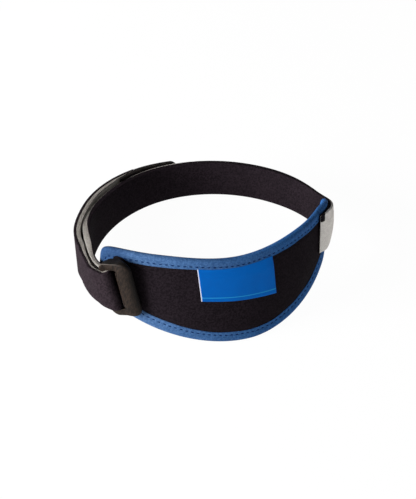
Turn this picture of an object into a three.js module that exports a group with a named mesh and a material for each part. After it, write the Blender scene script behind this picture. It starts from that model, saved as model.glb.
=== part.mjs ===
// Patellar strap: a padded crescent bent round the front of the knee and bound in tape, with a strap that
// goes round the back of the knee, through a plastic ring and back on itself.
// Millimetres, +Z up, the pad's middle faces -Y, and the strap stands on the floor at z = 0.
import * as THREE from 'three';
import { mergeVertices } from 'three/addons/utils/BufferGeometryUtils.js';

// The loop in plan: four arcs that run into each other, taken on the pad's outer face.
const FRONT_RADIUS = 94;
const BACK_RADIUS = 75;
const SIDE_RADIUS = 15;
const SIDE_CENTRE = 59.5;

// The pad's left end is pushed out of the arcs, and its right end in, by this much.
const FRONT_SKEW = 2;
const SKEW_LENGTH = 80;
const SKEW_FADE = 25;

// The walls lean in at the top, more so at the front, in degrees. The pull of the strap twists the pad's
// right end the other way, between these places along the loop.
const MEAN_LEAN = 5.2;
const FRONT_LEAN = 3.8;
const END_TWIST = { angle: 5.5, start: 72, full: 90, fade: 92, end: 105 };

// How the strap stands: the pad reaches lower than the strap, so the front is tilted up, and the heavier left
// side leans down, in degrees. The lift brings the lowest cloth a little below the floor, to be pressed flat.
const REST_TILT = 13.5;
const REST_ROLL = 3.9;
const REST_LIFT = 28.6;

// Pad: places along the loop are measured from the front's middle, to the right, and heights from the
// strap's middle line.
const PAD = {
  left: -86.5,
  right: 94,
  thickness: 3.7,
  rimThickness: 1.7,
  top: 14.9,
  leftRise: 3,
  rightRise: 2.4,
  riseLength: 50,
  bottom: -41.3,
  bottomArc: 8,
  leftCurve: 0.0118,
  rightCurve: 0.0162,
  curvePower: 1.7,
  endPower: 9,
};
const PAD_STATIONS = 44;

// Binding tape, folded over the pad's edge, with its fold rounded.
const TAPE = 0.7;
const TAPE_LEG = 6.5;
const TAPE_FOLD = 1.1;
const GAP = 0.3;

// Woven label under the top binding: its corners along the loop, and its low edge's heights.
const LABEL = {
  topLeft: -27,
  topRight: 20.7,
  lowLeft: -24.3,
  lowRight: 22.3,
  leftHeight: -9.5,
  rightHeight: -15,
};
const LABEL_THICKNESS = 0.6;
const LABEL_COLUMNS = 12;

// Plastic ring: centre on the pad, turn within the pad's face, and lean away from it at the top, in degrees.
// Its bars are measured across and along from the centre, and its top arm is deeper towards the pad.
const RING = {
  arc: -70,
  height: -3.4,
  turn: 13.4,
  lean: 6,
  leftBar: -6,
  rightBar: 5.6,
  arm: 15.2,
  cornerRadius: 4,
  slimWidth: 3,
  armWidth: 4.2,
  slimThickness: 2.2,
  armThickness: 3.4,
  topDepth: 3.2,
  wideWidth: 9.4,
  wideThickness: 4.8,
  leftOffset: 5.6,
  rightOffset: 5.2,
};

// Webbing tab that holds the ring's wide bar on the pad, in the ring's own directions. Its left edge slants,
// and its top right corner is cut off.
const TAB = {
  topLeft: -2.6,
  topRight: 1.6,
  lowLeft: 2,
  right: 8.8,
  low: -14.5,
  rightHigh: 12,
  high: 17.4,
  thickness: 0.8,
  corner: 1.5,
};

// Strap: a black face and a grey pile face in one band. It is squeezed thinner where it is sewn on the pad
// and where it goes through the ring, and is folded a little clear of the ring's left bar.
const STRAP_WIDTH = 25;
const STRAP_THICKNESS = 3.6;
const SQUEEZED_THICKNESS = 2.5;
const SEWN = { full: 105, end: 140 };
const SQUEEZE = { start: 304, full: 318 };
const STRAP_EDGE = 0.6;
const STRAP_STEP = 3.5;
const FOLD_CLEARANCE = 1.3;
const FOLD_TURN = 17.4;

// The strap's inner run, from the end sewn on the pad, round the back to the ring. Each row gives the place
// along the loop, the middle line's height, its distance out from the pad's outer face, how much further
// out the top edge is than the low one, and the turn of the width in degrees.
const INNER_RUN = [
  { arc: 66.5, height: 3.1, offset: 1.6, flare: 0, turn: -8.6 },
  { arc: 76, height: 1.6, offset: 1.8, flare: 0.2, turn: -6 },
  { arc: 90, height: 0.4, offset: 2.1, flare: 0.6, turn: -2 },
  { arc: 98, height: 0.1, offset: 1.5, flare: 0, turn: -0.5 },
  { arc: 105, height: 0, offset: 1.4, flare: 0, turn: 0 },
  { arc: 125, height: 0, offset: 1.6, flare: 0, turn: 0 },
  { arc: 160, height: 0, offset: 1.5, flare: 0, turn: 0 },
  { arc: 200, height: 0, offset: 1.8, flare: 0.8, turn: 0 },
  { arc: 221, height: 0, offset: 2.2, flare: 1.6, turn: 0 },
  { arc: 245, height: 0, offset: 2.6, flare: 2.6, turn: 0 },
  { arc: 265, height: 0, offset: 3.2, flare: 3.2, turn: 0 },
  { arc: 280, height: 0, offset: 4, flare: 4.1, turn: 0 },
  { arc: 288, height: -0.1, offset: 4.1, flare: 3.9, turn: 0.5 },
  { arc: 294, height: -0.3, offset: 3.6, flare: 3.1, turn: 1 },
  { arc: 302, height: -0.7, offset: 2.6, flare: 2.5, turn: 3 },
  { arc: 308, height: -1.3, offset: 1.8, flare: 2.2, turn: 6 },
  { arc: 313, height: -2.1, offset: 1.8, flare: 1.8, turn: 10 },
  { arc: 318, height: -3, offset: 2.5, flare: 1.6, turn: 15 },
  { arc: 322, height: -3.8, offset: 2.8, flare: 2.4, turn: 17 },
];

// The outer run, from the ring back along the outside to the hook tab. Its free end thins out on the inside.
const FREE_END = { arc: 229.5, full: 252, thickness: 1.7 };
const OUTER_RUN = [
  { arc: 322, height: -3.9, offset: 8.2, flare: 2.5, turn: 17 },
  { arc: 318, height: -3.2, offset: 6.8, flare: 2.4, turn: 15 },
  { arc: 312, height: -1.9, offset: 6.1, flare: 3.6, turn: 9 },
  { arc: 308, height: -1.3, offset: 6.5, flare: 3.6, turn: 5 },
  { arc: 301, height: -0.5, offset: 8.6, flare: 3, turn: 2.5 },
  { arc: 294, height: 0.2, offset: 9.4, flare: 3.3, turn: 1 },
  { arc: 280, height: 0.9, offset: 8.7, flare: 4.2, turn: 0 },
  { arc: 261, height: 1.3, offset: 8.3, flare: 4, turn: 0 },
  { arc: 245, height: 1.5, offset: 7.2, flare: 3.7, turn: 0 },
  { arc: 229.5, height: 1.6, offset: 6.4, flare: 2, turn: 0 },
];

// Hook tab, from under the outer run's free end along the outside of the inner run.
const HOOK = [
  { arc: 236, height: 1.6, thickness: 1.3 },
  { arc: 229.5, height: 1.6, thickness: 1.8 },
  { arc: 226, height: 1.5, thickness: 2.9 },
  { arc: 203, height: 0.8, thickness: 1.8 },
];
const HOOK_STEP = 2;

const radians = THREE.MathUtils.degToRad;
const lerp = THREE.MathUtils.lerp;
const smooth = THREE.MathUtils.smoothstep;

// Plan of the loop
const frontCentre = Math.sqrt((FRONT_RADIUS - SIDE_RADIUS) ** 2 - SIDE_CENTRE ** 2);
const backCentre = -Math.sqrt((BACK_RADIUS - SIDE_RADIUS) ** 2 - SIDE_CENTRE ** 2);
const frontAngle = Math.atan2(SIDE_CENTRE, frontCentre);
const backAngle = Math.atan2(SIDE_CENTRE, -backCentre);
const frontLength = FRONT_RADIUS * frontAngle;
const sideLength = SIDE_RADIUS * (Math.PI - frontAngle - backAngle);
const halfLoop = frontLength + sideLength + BACK_RADIUS * backAngle;

// The point, the outward direction and the twist of the loop at a place along it.
function plan(arc) {
  const turned = arc > halfLoop ? arc - 2 * halfLoop : arc;
  const side = Math.sign(turned) || 1;
  const s = Math.abs(turned);
  let angle = Math.PI - (halfLoop - s) / BACK_RADIUS;
  let radius = BACK_RADIUS;
  let centre = [0, backCentre];
  if (s < frontLength) {
    angle = s / FRONT_RADIUS;
    radius = FRONT_RADIUS;
    centre = [0, frontCentre];
  } else if (s < frontLength + sideLength) {
    angle = frontAngle + (s - frontLength) / SIDE_RADIUS;
    radius = SIDE_RADIUS;
    centre = [SIDE_CENTRE, 0];
  }
  const normal = new THREE.Vector2(side * Math.sin(angle), -Math.cos(angle));
  const point = new THREE.Vector2(side * centre[0], centre[1]).addScaledVector(normal, radius);
  const fade = Math.exp(-((Math.max(s - SKEW_LENGTH, 0) / SKEW_FADE) ** 2));
  point.addScaledVector(normal, -FRONT_SKEW * side * Math.sin(s / SKEW_LENGTH) * fade);
  const { angle: full, ...at } = END_TWIST;
  const twist = full * smooth(turned, at.start, at.full) * (1 - smooth(turned, at.fade, at.end));
  return { point, normal, twist };
}

// A point of the standing object from its place along the loop, height and distance out of the pad's face.
// Cloth that would reach below the floor is pressed flat on it.
function wall(arc, height, offset) {
  const { point, normal, twist } = plan(arc);
  const lean = radians(FRONT_LEAN * normal.y - MEAN_LEAN + twist);
  point.addScaledVector(normal, offset + height * Math.tan(lean));
  const standing = new THREE.Vector3(point.x, point.y, height);
  standing.applyAxisAngle(new THREE.Vector3(1, 0, 0), -radians(REST_TILT));
  standing.applyAxisAngle(new THREE.Vector3(0, 1, 0), -radians(REST_ROLL));
  standing.z = Math.max(standing.z + REST_LIFT, 0);
  return standing;
}

// A closed solid skinned over a row of sections, each a closed loop with the same number of points.
// Its ends are capped, or joined in a ring, or pinched shut where the end sections have no area.
function skin(sections, ends = 'capped') {
  const count = sections[0].length;
  const index = [];
  const spans = ends === 'ring' ? sections.length : sections.length - 1;
  for (let i = 0; i < spans; i += 1) {
    const here = i * count;
    const there = ((i + 1) % sections.length) * count;
    for (let j = 0; j < count; j += 1) {
      const next = (j + 1) % count;
      index.push(here + j, there + j, there + next, here + j, there + next, here + next);
    }
  }
  if (ends === 'capped') {
    const last = (sections.length - 1) * count;
    for (let j = 1; j < count - 1; j += 1) {
      index.push(0, j, j + 1, last, last + j + 1, last + j);
    }
  }
  const geometry = new THREE.BufferGeometry();
  const corners = sections.flat().flatMap((p) => p.toArray());
  geometry.setAttribute('position', new THREE.Float32BufferAttribute(corners, 3));
  geometry.setIndex(index);
  return tidied(geometry);
}

// The same geometry with shared corners joined, flat triangles dropped and its faces pointing out.
function tidied(geometry) {
  const merged = mergeVertices(geometry, 1e-4);
  const at = merged.getAttribute('position');
  const corner = (i) => new THREE.Vector3().fromBufferAttribute(at, i);
  const old = merged.getIndex().array;
  const kept = [];
  let volume = 0;
  for (let i = 0; i < old.length; i += 3) {
    const [a, b, c] = old.slice(i, i + 3);
    if (a !== b && b !== c && c !== a) {
      kept.push(a, b, c);
      volume += corner(a).dot(corner(b).cross(corner(c)));
    }
  }
  merged.setIndex(volume < 0 ? kept.reverse() : kept);
  return merged;
}

// Pad
const padCentre = (PAD.left + PAD.right) / 2;
const padHalf = (PAD.right - PAD.left) / 2;
const padMiddle = -PAD.thickness / 2;

function padTop(arc) {
  const rise = arc < 0 ? PAD.leftRise : PAD.rightRise;
  return PAD.top + rise * smooth(Math.abs(arc), 0, PAD.riseLength);
}

function padBottom(arc) {
  const curve = arc < PAD.bottomArc ? PAD.leftCurve : PAD.rightCurve;
  return PAD.bottom + curve * Math.abs(arc - PAD.bottomArc) ** PAD.curvePower;
}

// A point of the pad's outline, drawn in by an inset, at a turn of 0 to 1 from the left end along the top
// edge and back along the low one.
function outline(turn, inset) {
  const along = -Math.cos(2 * Math.PI * turn);
  const rounding = (1 - Math.min(Math.abs(along), 1) ** PAD.endPower) ** (1 / PAD.endPower);
  const arc = padCentre + padHalf * along;
  const middle = (padTop(arc) + padBottom(arc)) / 2;
  const reach = (padTop(arc) - padBottom(arc)) / 2 - inset;
  const side = turn <= 0.5 ? 1 : -1;
  return { arc: arc - inset * along, height: middle + side * reach * rounding };
}

function padGeometry() {
  const rim = PAD.rimThickness / 2;
  const full = PAD.thickness / 2;
  const rows = [
    { inset: TAPE + GAP, depth: rim },
    { inset: TAPE_LEG + GAP, depth: rim },
    { inset: TAPE_LEG + 2 * GAP, depth: full },
  ];
  const inner = rows[rows.length - 1].inset;
  const sections = [];
  for (let i = 0; i <= PAD_STATIONS; i += 1) {
    const turn = i / (2 * PAD_STATIONS);
    const top = rows.map((row) => ({ ...outline(turn, row.inset), depth: row.depth }));
    const low = rows.map((row) => ({ ...outline(1 - turn, row.inset), depth: row.depth }));
    const from = outline(turn, inner);
    const to = outline(1 - turn, inner);
    const between = [0.25, 0.5, 0.75].map((f) => {
      const height = lerp(from.height, to.height, f);
      return { arc: from.arc, height, depth: full };
    });
    const face = [...top, ...between, ...low.reverse()];
    const outside = face.map((p) => wall(p.arc, p.height, padMiddle + p.depth));
    const inside = face.map((p) => wall(p.arc, p.height, padMiddle - p.depth));
    sections.push([...outside, ...inside.reverse()]);
  }
  return skin(sections, 'pinched');
}

function bindingGeometry() {
  const out = PAD.thickness / 2;
  const into = out - TAPE;
  const half = [
    { inset: TAPE, depth: into },
    { inset: TAPE_LEG, depth: into },
    { inset: TAPE_LEG, depth: out },
    { inset: TAPE_FOLD, depth: out },
    { inset: TAPE_FOLD / 3, depth: out - TAPE_FOLD / 3 },
    { inset: 0, depth: out - TAPE_FOLD },
  ];
  const mirrored = half.map((p) => ({ inset: p.inset, depth: -p.depth })).reverse();
  const profile = [...half, ...mirrored];
  const sections = [];
  for (let i = 0; i < 2 * PAD_STATIONS; i += 1) {
    const turn = i / (2 * PAD_STATIONS);
    sections.push(profile.map((p) => {
      const edge = outline(turn, p.inset);
      return wall(edge.arc, edge.height, padMiddle + p.depth);
    }));
  }
  return skin(sections, 'ring');
}

function labelGeometry() {
  const back = GAP;
  const face = back + LABEL_THICKNESS;
  const sections = [];
  for (let i = 0; i <= LABEL_COLUMNS; i += 1) {
    const f = i / LABEL_COLUMNS;
    const top = lerp(LABEL.topLeft, LABEL.topRight, f);
    const low = lerp(LABEL.lowLeft, LABEL.lowRight, f);
    const high = padTop(top) - TAPE_LEG - 2 * GAP;
    const deep = lerp(LABEL.leftHeight, LABEL.rightHeight, f);
    const outside = [wall(top, high, face), wall(low, deep, face)];
    const inside = [wall(low, deep, back), wall(top, high, back)];
    sections.push([...outside, ...inside]);
  }
  return skin(sections);
}

// A point of the ring's own frame: across, along and out of the pad.
const ringTurn = radians(RING.turn);
const ringLean = Math.tan(radians(RING.lean));

function ringPlane(across) {
  const f = (across - RING.leftBar) / (RING.rightBar - RING.leftBar);
  return lerp(RING.leftOffset, RING.rightOffset, f);
}

function ringPlace(across, along) {
  return {
    arc: RING.arc + across * Math.cos(ringTurn) - along * Math.sin(ringTurn),
    height: RING.height + across * Math.sin(ringTurn) + along * Math.cos(ringTurn),
  };
}

// The ring follows the loop's gentle curve.
function ringPoint(across, along, out) {
  const { arc, height } = ringPlace(across, along);
  return wall(arc, height, ringPlane(across) + along * ringLean + out);
}

function ringGeometry() {
  const path = new THREE.Path();
  const { leftBar: left, rightBar: right, arm, cornerRadius: r } = RING;
  path.moveTo(left, -arm + r);
  path.lineTo(left, arm - r);
  path.absarc(left + r, arm - r, r, Math.PI, Math.PI / 2, true);
  path.lineTo(right - r, arm);
  path.absarc(right - r, arm - r, r, Math.PI / 2, 0, true);
  path.lineTo(right, -arm + r);
  path.absarc(right - r, -arm + r, r, 0, -Math.PI / 2, true);
  path.lineTo(left + r, -arm);
  path.absarc(left + r, -arm + r, r, -Math.PI / 2, -Math.PI, true);
  const stations = 64;
  const sides = 12;
  const squareness = 0.55;
  const sections = [];
  for (let i = 0; i < stations; i += 1) {
    const centre = path.getPointAt(i / stations);
    const tangent = path.getTangentAt(i / stations);
    const wide = smooth(centre.x, right - r, right);
    const onArm = smooth(centre.x, left, left + r);
    const width = lerp(lerp(RING.slimWidth, RING.armWidth, onArm), RING.wideWidth, wide);
    const depth = RING.topDepth * smooth(centre.y, 0, arm) * onArm;
    const slimOrArm = lerp(RING.slimThickness, RING.armThickness, onArm) + depth;
    const thickness = lerp(slimOrArm, RING.wideThickness, wide);
    const shift = (-depth / 2) * (1 - wide);
    const section = [];
    for (let j = 0; j < sides; j += 1) {
      const angle = (2 * Math.PI * j) / sides;
      const a = Math.sign(Math.cos(angle)) * Math.abs(Math.cos(angle)) ** squareness;
      const b = Math.sign(Math.sin(angle)) * Math.abs(Math.sin(angle)) ** squareness;
      const sideways = (a * width) / 2;
      const across = centre.x + tangent.y * sideways;
      const along = centre.y - tangent.x * sideways;
      section.push(ringPoint(across, along, shift + (b * thickness) / 2));
    }
    sections.push(section);
  }
  return skin(sections, 'ring');
}

function tabGeometry() {
  const { low, high, corner } = TAB;
  const steps = 18;
  const sections = [];
  for (let i = 0; i <= steps; i += 1) {
    const f = smooth(i / steps, 0, 1);
    const along = lerp(low, high, f);
    const toEnd = Math.min(along - low, high - along);
    const cut = corner - Math.sqrt(corner ** 2 - Math.max(corner - toEnd, 0) ** 2);
    const slant = Math.max((along - TAB.rightHigh) / (high - TAB.rightHigh), 0);
    const left = lerp(TAB.lowLeft, TAB.topLeft, f) + cut;
    const right = lerp(TAB.right, TAB.topRight, slant) - cut;
    const row = [left, (left + right) / 2, right].map((across) => ringPlace(across, along));
    const inside = row.map((p) => wall(p.arc, p.height, GAP));
    const outside = row.map((p) => wall(p.arc, p.height, GAP + TAB.thickness));
    sections.push([...outside, ...inside.reverse()]);
  }
  return skin(sections);
}

// A row of a run at a place along the loop, smoothly between the rows given.
function runAt(rows) {
  const sorted = [...rows].sort((a, b) => a.arc - b.arc);
  const values = sorted.flatMap((row) => [row.height, row.offset, row.flare, row.turn]);
  const curve = new THREE.CubicInterpolant(sorted.map((row) => row.arc), values, 4);
  return (arc) => {
    const [height, offset, flare, turn] = curve.evaluate(arc);
    return { arc, height, offset, flare, turn };
  };
}

// A section of a band: its middle, the way its thickness points along and out of the loop, and its size.
function bandSection(at, way, thickness, width) {
  const half = width / 2;
  const thin = thickness / 2;
  const edge = STRAP_EDGE;
  const loop = [
    [thin, half - edge],
    [thin - edge, half],
    [edge - thin, half],
    [-thin, half - edge],
    [-thin, edge - half],
    [edge - thin, -half],
    [thin - edge, -half],
    [thin, edge - half],
  ];
  const turn = radians(at.turn);
  return loop.map(([deep, across]) => wall(
    at.arc + way.along * deep - Math.sin(turn) * across,
    at.height + Math.cos(turn) * across,
    at.offset + way.out * deep + (at.flare * across) / width,
  ));
}

// Where the strap turns round the ring's left bar.
const fullLoop = 2 * halfLoop;
const barPlace = ringPlace(RING.leftBar, 0);
const barArc = barPlace.arc + fullLoop + FOLD_CLEARANCE;
const foldRadius = RING.slimThickness / 2 + GAP + SQUEEZED_THICKNESS / 2;
const barRow = { arc: barArc, height: barPlace.height, flare: ringLean * STRAP_WIDTH, turn: FOLD_TURN };
const innerAt = runAt([...INNER_RUN, { ...barRow, offset: RING.leftOffset - foldRadius }]);
const evenOuterAt = runAt([...OUTER_RUN, { ...barRow, offset: RING.leftOffset + foldRadius }]);

function thicknessAt(arc) {
  const squeeze = Math.max(1 - smooth(arc, SEWN.full, SEWN.end), smooth(arc, SQUEEZE.start, SQUEEZE.full));
  return lerp(STRAP_THICKNESS, SQUEEZED_THICKNESS, squeeze);
}

function outerThicknessAt(arc) {
  return lerp(FREE_END.thickness, thicknessAt(arc), smooth(arc, FREE_END.arc, FREE_END.full));
}

function outerAt(arc) {
  const row = evenOuterAt(arc);
  return { ...row, offset: row.offset + (thicknessAt(arc) - outerThicknessAt(arc)) / 2 };
}

// Sections of a run between two places along the loop, with the thickness square to its path.
function runSections(at, thickness, from, to) {
  const count = Math.round(Math.abs(to - from) / STRAP_STEP);
  const sections = [];
  for (let i = 0; i <= count; i += 1) {
    const arc = lerp(from, to, i / count);
    const reach = 0.5;
    const low = Math.max(Math.min(from, to), arc - reach);
    const high = Math.min(Math.max(from, to), arc + reach);
    const slope = (at(high).offset - at(low).offset) / (high - low);
    const length = Math.hypot(1, slope);
    const way = { along: -slope / length, out: 1 / length };
    sections.push(bandSection(at(arc), way, thickness(arc), STRAP_WIDTH));
  }
  return sections;
}

function strapGeometry() {
  const inner = runSections(innerAt, thicknessAt, INNER_RUN[0].arc, barArc);
  const fold = [];
  const foldSteps = 8;
  for (let i = 1; i < foldSteps; i += 1) {
    const angle = Math.PI * (i / foldSteps) - Math.PI / 2;
    const along = foldRadius * Math.cos(angle);
    const at = {
      ...barRow,
      arc: barArc + along,
      height: barRow.height + along * Math.tan(radians(FOLD_TURN)),
      offset: RING.leftOffset + foldRadius * Math.sin(angle),
    };
    const way = { along: -Math.cos(angle), out: -Math.sin(angle) };
    fold.push(bandSection(at, way, SQUEEZED_THICKNESS, STRAP_WIDTH));
  }
  const outer = runSections(outerAt, outerThicknessAt, barArc, FREE_END.arc);
  const flipped = outer.map((section) => [3, 2, 1, 0, 7, 6, 5, 4].map((j) => section[j]));
  return skin([...inner, ...fold, ...flipped]);
}

function hookGeometry() {
  const rows = [...HOOK].reverse();
  const values = rows.flatMap((row) => [row.height, row.thickness]);
  const curve = new THREE.LinearInterpolant(rows.map((row) => row.arc), values, 2);
  const from = HOOK[0].arc;
  const to = rows[0].arc;
  const count = Math.round((from - to) / HOOK_STEP);
  const sections = [];
  for (let i = 0; i <= count; i += 1) {
    const under = innerAt(lerp(from, to, i / count));
    const [height, thickness] = curve.evaluate(under.arc);
    const offset = under.offset + thicknessAt(under.arc) / 2 + GAP + thickness / 2;
    sections.push(bandSection({ ...under, offset, height }, { along: 0, out: 1 }, thickness, STRAP_WIDTH));
  }
  return skin(sections);
}

function piece(name, geometry, color, roughness) {
  const mesh = new THREE.Mesh(geometry, new THREE.MeshStandardMaterial({ color, roughness, metalness: 0 }));
  mesh.name = name;
  return mesh;
}

const object = new THREE.Group();
object.add(piece('pad', padGeometry(), 0x26212a, 0.95));
object.add(piece('binding', bindingGeometry(), 0x2e5286, 0.85));
object.add(piece('label', labelGeometry(), 0x0b54a8, 0.7));
object.add(piece('ring', ringGeometry(), 0x37322f, 0.45));
object.add(piece('tab', tabGeometry(), 0x18161a, 0.9));
object.add(piece('strap', strapGeometry(), 0x2e282e, 0.95));
object.add(piece('hook_tab', hookGeometry(), 0x1a171a, 0.8));

// The origin is on the floor, under the middle of the whole object.
const middle = new THREE.Box3().setFromObject(object).getCenter(new THREE.Vector3());
object.position.set(-middle.x, -middle.y, 0);

export default object;
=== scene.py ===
import math

import bmesh
import bpy
import numpy as np
from mathutils import Matrix


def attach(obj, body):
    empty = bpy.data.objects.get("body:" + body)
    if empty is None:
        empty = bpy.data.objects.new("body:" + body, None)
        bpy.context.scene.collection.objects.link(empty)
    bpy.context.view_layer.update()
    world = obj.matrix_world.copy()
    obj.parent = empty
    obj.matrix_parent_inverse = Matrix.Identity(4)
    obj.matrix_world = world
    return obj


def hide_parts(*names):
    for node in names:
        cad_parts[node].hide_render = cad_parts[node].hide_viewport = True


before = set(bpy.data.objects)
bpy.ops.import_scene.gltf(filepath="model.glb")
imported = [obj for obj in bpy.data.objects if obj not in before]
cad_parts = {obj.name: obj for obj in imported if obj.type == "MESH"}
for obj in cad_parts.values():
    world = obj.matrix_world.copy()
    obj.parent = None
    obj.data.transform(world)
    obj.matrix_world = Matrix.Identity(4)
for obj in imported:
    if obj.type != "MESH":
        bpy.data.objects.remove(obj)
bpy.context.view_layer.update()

# The loop in plan and how it stands, as in the solids
FRONT_RADIUS = 94.0
BACK_RADIUS = 75.0
SIDE_RADIUS = 15.0
SIDE_CENTRE = 59.5
FRONT_SKEW = 2.0
SKEW_LENGTH = 80.0
SKEW_FADE = 25.0
MEAN_LEAN = 5.2
FRONT_LEAN = 3.8
END_TWIST = 5.5
TWIST_RISE = (72.0, 90.0)
TWIST_FADE = (92.0, 105.0)
REST_TILT = 13.5
REST_ROLL = 3.9
REST_LIFT = 28.6
BOX_MIDDLE = (-4.167, 8.972)

# Pad and binding tape
PAD_LEFT = -86.5
PAD_RIGHT = 94.0
PAD_HALF_THICKNESS = 1.85
PAD_TOP = 14.9
PAD_LEFT_RISE = 3.0
PAD_RIGHT_RISE = 2.4
PAD_RISE_LENGTH = 50.0
PAD_BOTTOM = -41.3
PAD_BOTTOM_ARC = 8.0
PAD_LEFT_CURVE = 0.0118
PAD_RIGHT_CURVE = 0.0162
PAD_CURVE_POWER = 1.7
PAD_END_POWER = 9.0
PAD_INSETS = [1.0, 3.0, 4.6, 5.6, 6.4, 7.2, 8.0, 9.0, 10.2, 11.6]
PAD_DEPTHS = (0.9, 1.78)
PAD_FILLING = (4.5, 10.0)
PAD_CROWN = 0.2
PAD_RIPPLE = 0.05
PAD_RIPPLE_LENGTHS = [(5.1, 8.3), (-13.0, 6.7)]
TAPE_LEG = 6.5
TAPE_STATIONS = [6.3, 5.9, 5.4, 4.9, 4.4, 3.9, 3.3, 2.5]
TAPE_END_DEPTH = 1.33
TAPE_LEG_DEPTH = 1.6
TAPE_RISE = (5.0, 2.0)
TAPE_FOLD = 1.6
TAPE_FOLD_DEPTH = 1.85
TAPE_FOLD_TURN = 80
TAPE_INSIDE = [(5.9, 1.12), (3.3, 1.3)]  # inset and depth
TAPE_THICKNESS = 0.45
TAPE_PATH_INSET = 3.0
TAPE_END_SPAN = 0.3
TAPE_WAVES = [
    # height, length and start of each
    (0.05, 6.1, 0.0),
    (0.04, 2.9, 1.3),
]
TAPE_WAVE_RISE = (0.5, 2.5)
EDGE_WAVE = 0.12
EDGE_WAVE_LENGTHS = (4.3, 11.7)
EDGE_WAVE_INSET = 6.0
STITCH_INSET = 4.6
STITCH_PITCH = 3.5
STITCH_LENGTH = 1.8
STITCH_DEPTH = 1.62
STITCH_WAVER = 0.06
STITCH_DIP = (0.1, 0.12)
STITCH_DIP_WIDTH = 0.75
STITCH_RADIUS = 0.34
STITCH_SINK = 0.4

# Label
LABEL_TOP = (-27.0, 20.7)
LABEL_LOW = (-24.3, 22.3)
LABEL_HEIGHTS = (-9.5, -15.0)
LABEL_THICKNESS = 0.5
LABEL_UNDER_TOP = 5.7
LABEL_TUCK = 0.28
LABEL_OFFSETS = (-0.62, 0.22)
LABEL_LIFT = 0.25
LABEL_WAVE = 0.08
LABEL_WAVE_TURNS = (11.0, 3.0)
LABEL_SPAN = (47.0, 22.0)
LABEL_SOFT_EDGE = 0.5
LABEL_EDGE_SHARE = 0.45
LABEL_BACK = 0.1

# Ring and its webbing tab
RING_ARC = -70.0
RING_HEIGHT = -3.4
RING_TURN = math.radians(13.4)
RING_LEAN = math.tan(math.radians(6.0))
RING_LEFT = -6.0
RING_RIGHT = 5.6
RING_ARM = 15.2
RING_CORNER = 4.0
RING_LEFT_OFFSET = 5.6
RING_RIGHT_OFFSET = 5.2
RING_SLIM = (3.0, 2.2)
RING_ARM_WIDTH = 4.2
RING_ARM_THICKNESS = 3.4
RING_TOP_DEPTH = 3.2
RING_WIDE = (9.4, 4.8)
RING_SHARP = {"low right": 0.3, "top left": 0.6}
RING_ROUNDNESS = (0.18, 0.9)
TAB_LEFT = (2.0, -2.6)
TAB_RIGHT = (8.8, 1.6)
TAB_LOW = -14.5
TAB_RIGHT_HIGH = 12.0
TAB_HIGH = 17.4
TAB_CORNER = 1.5
TAB_THICKNESSES = (0.35, 0.9)
TAB_SOFT_EDGE = 0.8
TAB_FRONT = 0.25
TAB_BACK = 0.15
TAB_STITCH_INSET = 1.3
TAB_STITCH_ENDS = (2.0, 1.0)
TAB_STITCH_PITCH = 2.6
TAB_STITCH_LENGTH = 1.7
TAB_STITCH_OFFSET = 1.12
TAB_STITCH_RADIUS = 0.2

# Strap: its layers, then the middle lines of its two runs
SEAM_GAP = 0.3
STRAP_WIDTH = 25.0
STRAP_THICKNESS = 3.6
STRAP_ROUNDING = 0.3
SQUEEZED_THICKNESS = 2.5
SEWN = (105.0, 140.0)
PRESSED = (66.5, 74.0)
PRESSED_THICKNESS = 1.1
SQUEEZE = (304.0, 318.0)
INNER_SKIN = 0.75
OUTER_SKIN = 1.7
LEAST_PILE = 0.25
PILE_ROUNDING = 0.1
PILE_GAP = 0.01
INNER_PILE = [
    # arc, pile's thickness and black margin beside it
    (66.5, 0.35, 0.05),
    (76.0, 1.6, 0.05),
    (86.0, 1.4, 0.1),
    (93.0, 0.4, 0.5),
    (190.0, 0.5, 0.35),
    (205.0, 0.7, 0.2),
    (232.0, 0.7, 0.2),
    (240.0, 0.5, 0.5),
    (268.0, 0.5, 0.5),
    (284.0, 1.8, 0.1),
    (300.0, 2.85, 0.1),
]
SWELL = 0.45
SWELL_RISE = (258.0, 274.0)
SWELL_FADE = (314.0, 323.0)
TACK_DISTANCE = 2.0
TACK_LENGTH = 4.4
TACK_ACROSS = (8.6, 13.0)
TACK_PITCH = 0.6
TACK_LIFT = 0.4
TACK_RADIUS = 0.45
TACK_SINK = 0.6
END_BOW = 1.4
BOW_RISE = (72.0, 84.0)
BOW_FADE = (92.0, 108.0)
FREE_END = (229.5, 252.0)
FREE_END_THICKNESS = 1.7
FOLD_CLEARANCE = 1.3
FOLD_TURN = 17.4
INNER_RUN = [
    # arc, height, offset, flare and turn in degrees, from the sewn end to the ring
    (66.5, 3.1, 1.6, 0.0, -8.6),
    (76.0, 1.6, 1.8, 0.2, -6.0),
    (90.0, 0.4, 2.0, 0.5, -2.0),
    (98.0, 0.1, 1.5, 0.0, -0.5),
    (105.0, 0.0, 1.4, 0.0, 0.0),
    (125.0, 0.0, 1.6, 0.0, 0.0),
    (160.0, 0.0, 1.5, 0.0, 0.0),
    (200.0, 0.0, 1.8, 0.8, 0.0),
    (221.0, 0.0, 2.2, 1.6, 0.0),
    (245.0, 0.0, 2.6, 2.6, 0.0),
    (265.0, 0.0, 3.2, 3.2, 0.0),
    (280.0, 0.0, 4.0, 4.1, 0.0),
    (288.0, -0.1, 4.1, 3.9, 0.5),
    (294.0, -0.3, 3.6, 3.1, 1.0),
    (302.0, -0.7, 2.6, 2.5, 3.0),
    (308.0, -1.3, 1.8, 2.2, 6.0),
    (313.0, -2.1, 1.8, 1.8, 10.0),
    (318.0, -3.0, 2.5, 1.6, 15.0),
    (322.0, -3.8, 2.8, 2.4, 17.0),
]
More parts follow.
